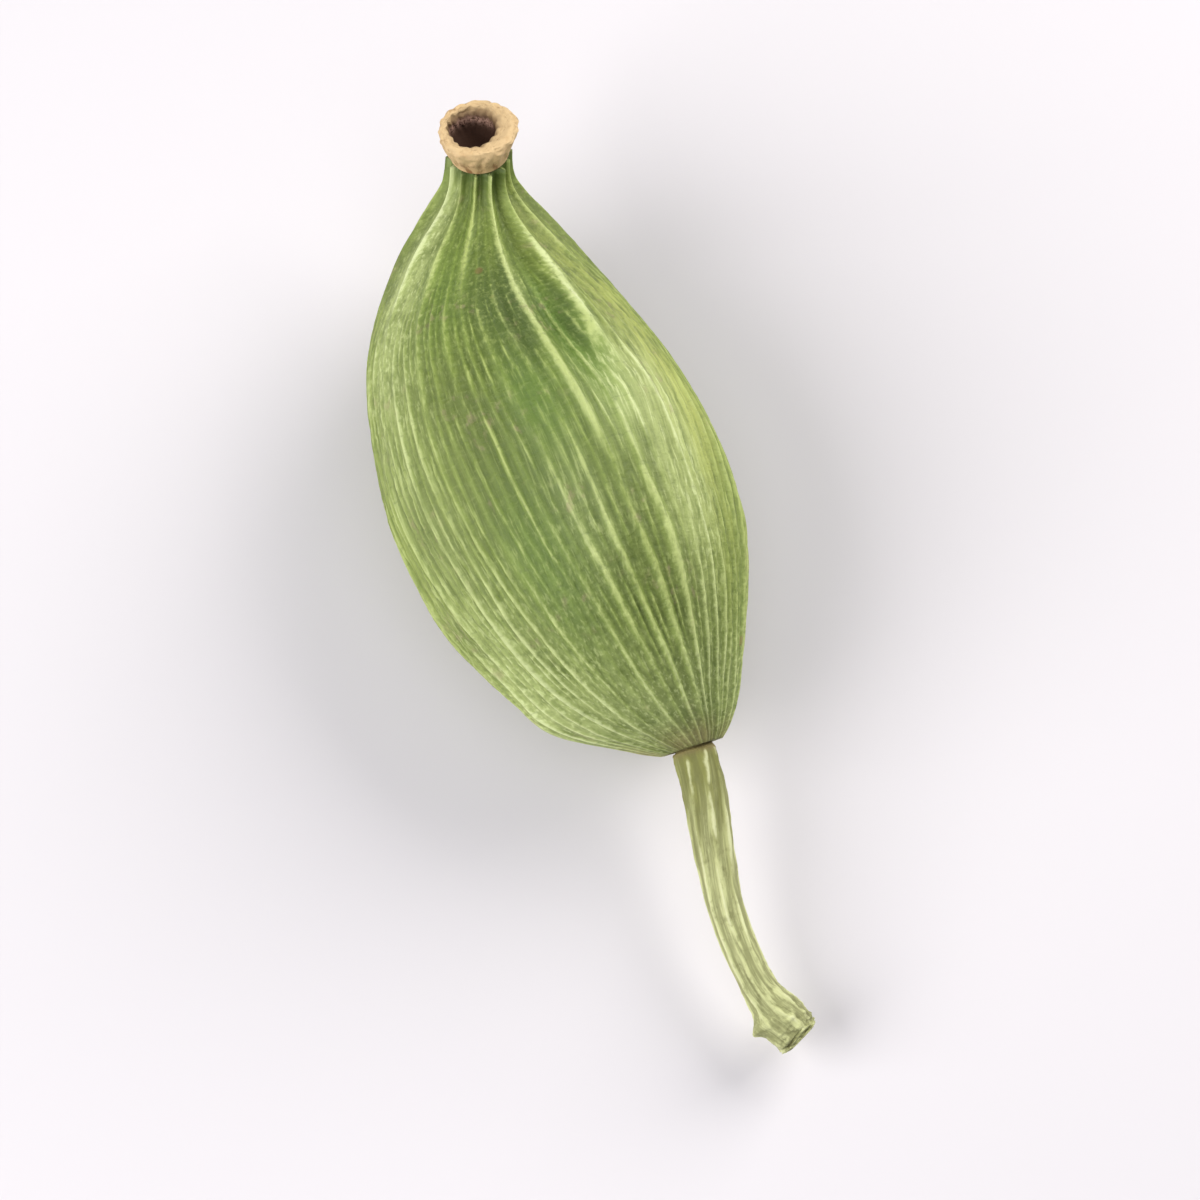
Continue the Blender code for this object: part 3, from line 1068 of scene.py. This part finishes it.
    def build(self) -> bpy.types.Object:
        """Makes and dresses the stalk.

        Returns:
            The stalk's object.
        """
        stations = len(self.rings) + self.cut_rings
        made = skin(Piece.STALK, self.sides, stations, self.spot)
        stand_for(made, Piece.STALK, self.finish.material())
        return made


@dataclass(frozen=True)
class Lamp:
    """One soft square light: where it hangs, the length of its side, its power in watts and its colour."""

    name: str
    place: Vector
    size: float
    power: float
    tone: Colour


@dataclass
class Studio:
    """The pale floor, the soft lights and the camera."""

    azimuth: float = math.radians(-20.0)
    elevation: float = math.radians(74.0)
    lens: float = 250.0
    distance: float = 200.0 * MM
    aim: Vector = Vector((0.0, -0.2 * MM, 3.0 * MM))
    floor_size: float = 1.2
    floor_colour: Colour = paint(220, 218, 224)
    sky_colour: Colour = paint(250, 250, 255)
    sky_strength: float = 0.20
    lamps: tuple[Lamp, ...] = (
        Lamp("left", Vector((-115 * MM, 0.0, 95 * MM)), 110 * MM, 0.22, paint(255, 252, 248)),
        Lamp("right", Vector((115 * MM, 45 * MM, 85 * MM)), 110 * MM, 0.23, paint(255, 251, 244)),
        Lamp("top", Vector((0.0, -40 * MM, 160 * MM)), 120 * MM, 0.05, paint(250, 250, 255)),
    )

    def floor(self) -> None:
        """Lays the floor that the pod rests on."""
        shape = bmesh.new()
        bmesh.ops.create_grid(shape, x_segments=1, y_segments=1, size=self.floor_size / 2.0)
        mesh = bpy.data.meshes.new("floor")
        shape.to_mesh(mesh)
        shape.free()
        graph = Graph("floor_white")
        graph.shader.inputs["Base Color"].default_value = self.floor_colour
        graph.shader.inputs["Roughness"].default_value = 0.9
        graph.shader.inputs["Specular IOR Level"].default_value = 0.1
        mesh.materials.append(graph.material)
        made = bpy.data.objects.new("floor", mesh)
        bpy.context.scene.collection.objects.link(made)
        made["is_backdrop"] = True

    def light(self, lamp: Lamp) -> None:
        """Hangs one lamp so that it faces the pod.

        Args:
            lamp: the lamp to hang.
        """
        data = bpy.data.lights.new(lamp.name, "AREA")
        data.shape = "SQUARE"
        data.size = lamp.size
        data.energy = lamp.power
        data.color = lamp.tone[:3]
        made = bpy.data.objects.new(lamp.name, data)
        made.location = lamp.place
        made.rotation_euler = (self.aim - lamp.place).to_track_quat("-Z", "Y").to_euler()
        bpy.context.scene.collection.objects.link(made)

    def camera(self) -> None:
        """Sets the camera over the pod, at the angle of the photograph."""
        data = bpy.data.cameras.new("camera")
        data.lens = self.lens
        data.clip_start = 1.0 * MM
        data.clip_end = 10.0
        flat = math.cos(self.elevation)
        back = Vector((math.sin(self.azimuth) * flat, -math.cos(self.azimuth) * flat, math.sin(self.elevation)))
        made = bpy.data.objects.new("camera", data)
        made.location = self.aim + back * self.distance
        made.rotation_euler = (-back).to_track_quat("-Z", "Y").to_euler()
        bpy.context.scene.collection.objects.link(made)
        bpy.context.scene.camera = made

    def build(self) -> None:
        """Sets up the whole studio."""
        world = bpy.data.worlds.new("studio")
        world.use_nodes = True
        sky = world.node_tree.nodes["Background"]
        sky.inputs["Color"].default_value = self.sky_colour
        sky.inputs["Strength"].default_value = self.sky_strength
        bpy.context.scene.world = world
        bpy.context.scene.view_settings.view_transform = "Standard"
        self.floor()
        for lamp in self.lamps:
            self.light(lamp)
        self.camera()
        log.info("studio ready")


def main() -> None:
    """Builds the pod and the studio round it."""
    logging.basicConfig(level=logging.INFO, format="%(message)s")
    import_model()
    husk = Husk()
    husk.build()
    FlowerTube(husk).build()
    Stalk(husk.joint).build()
    Studio().build()


if __name__ == "__main__":
    main()
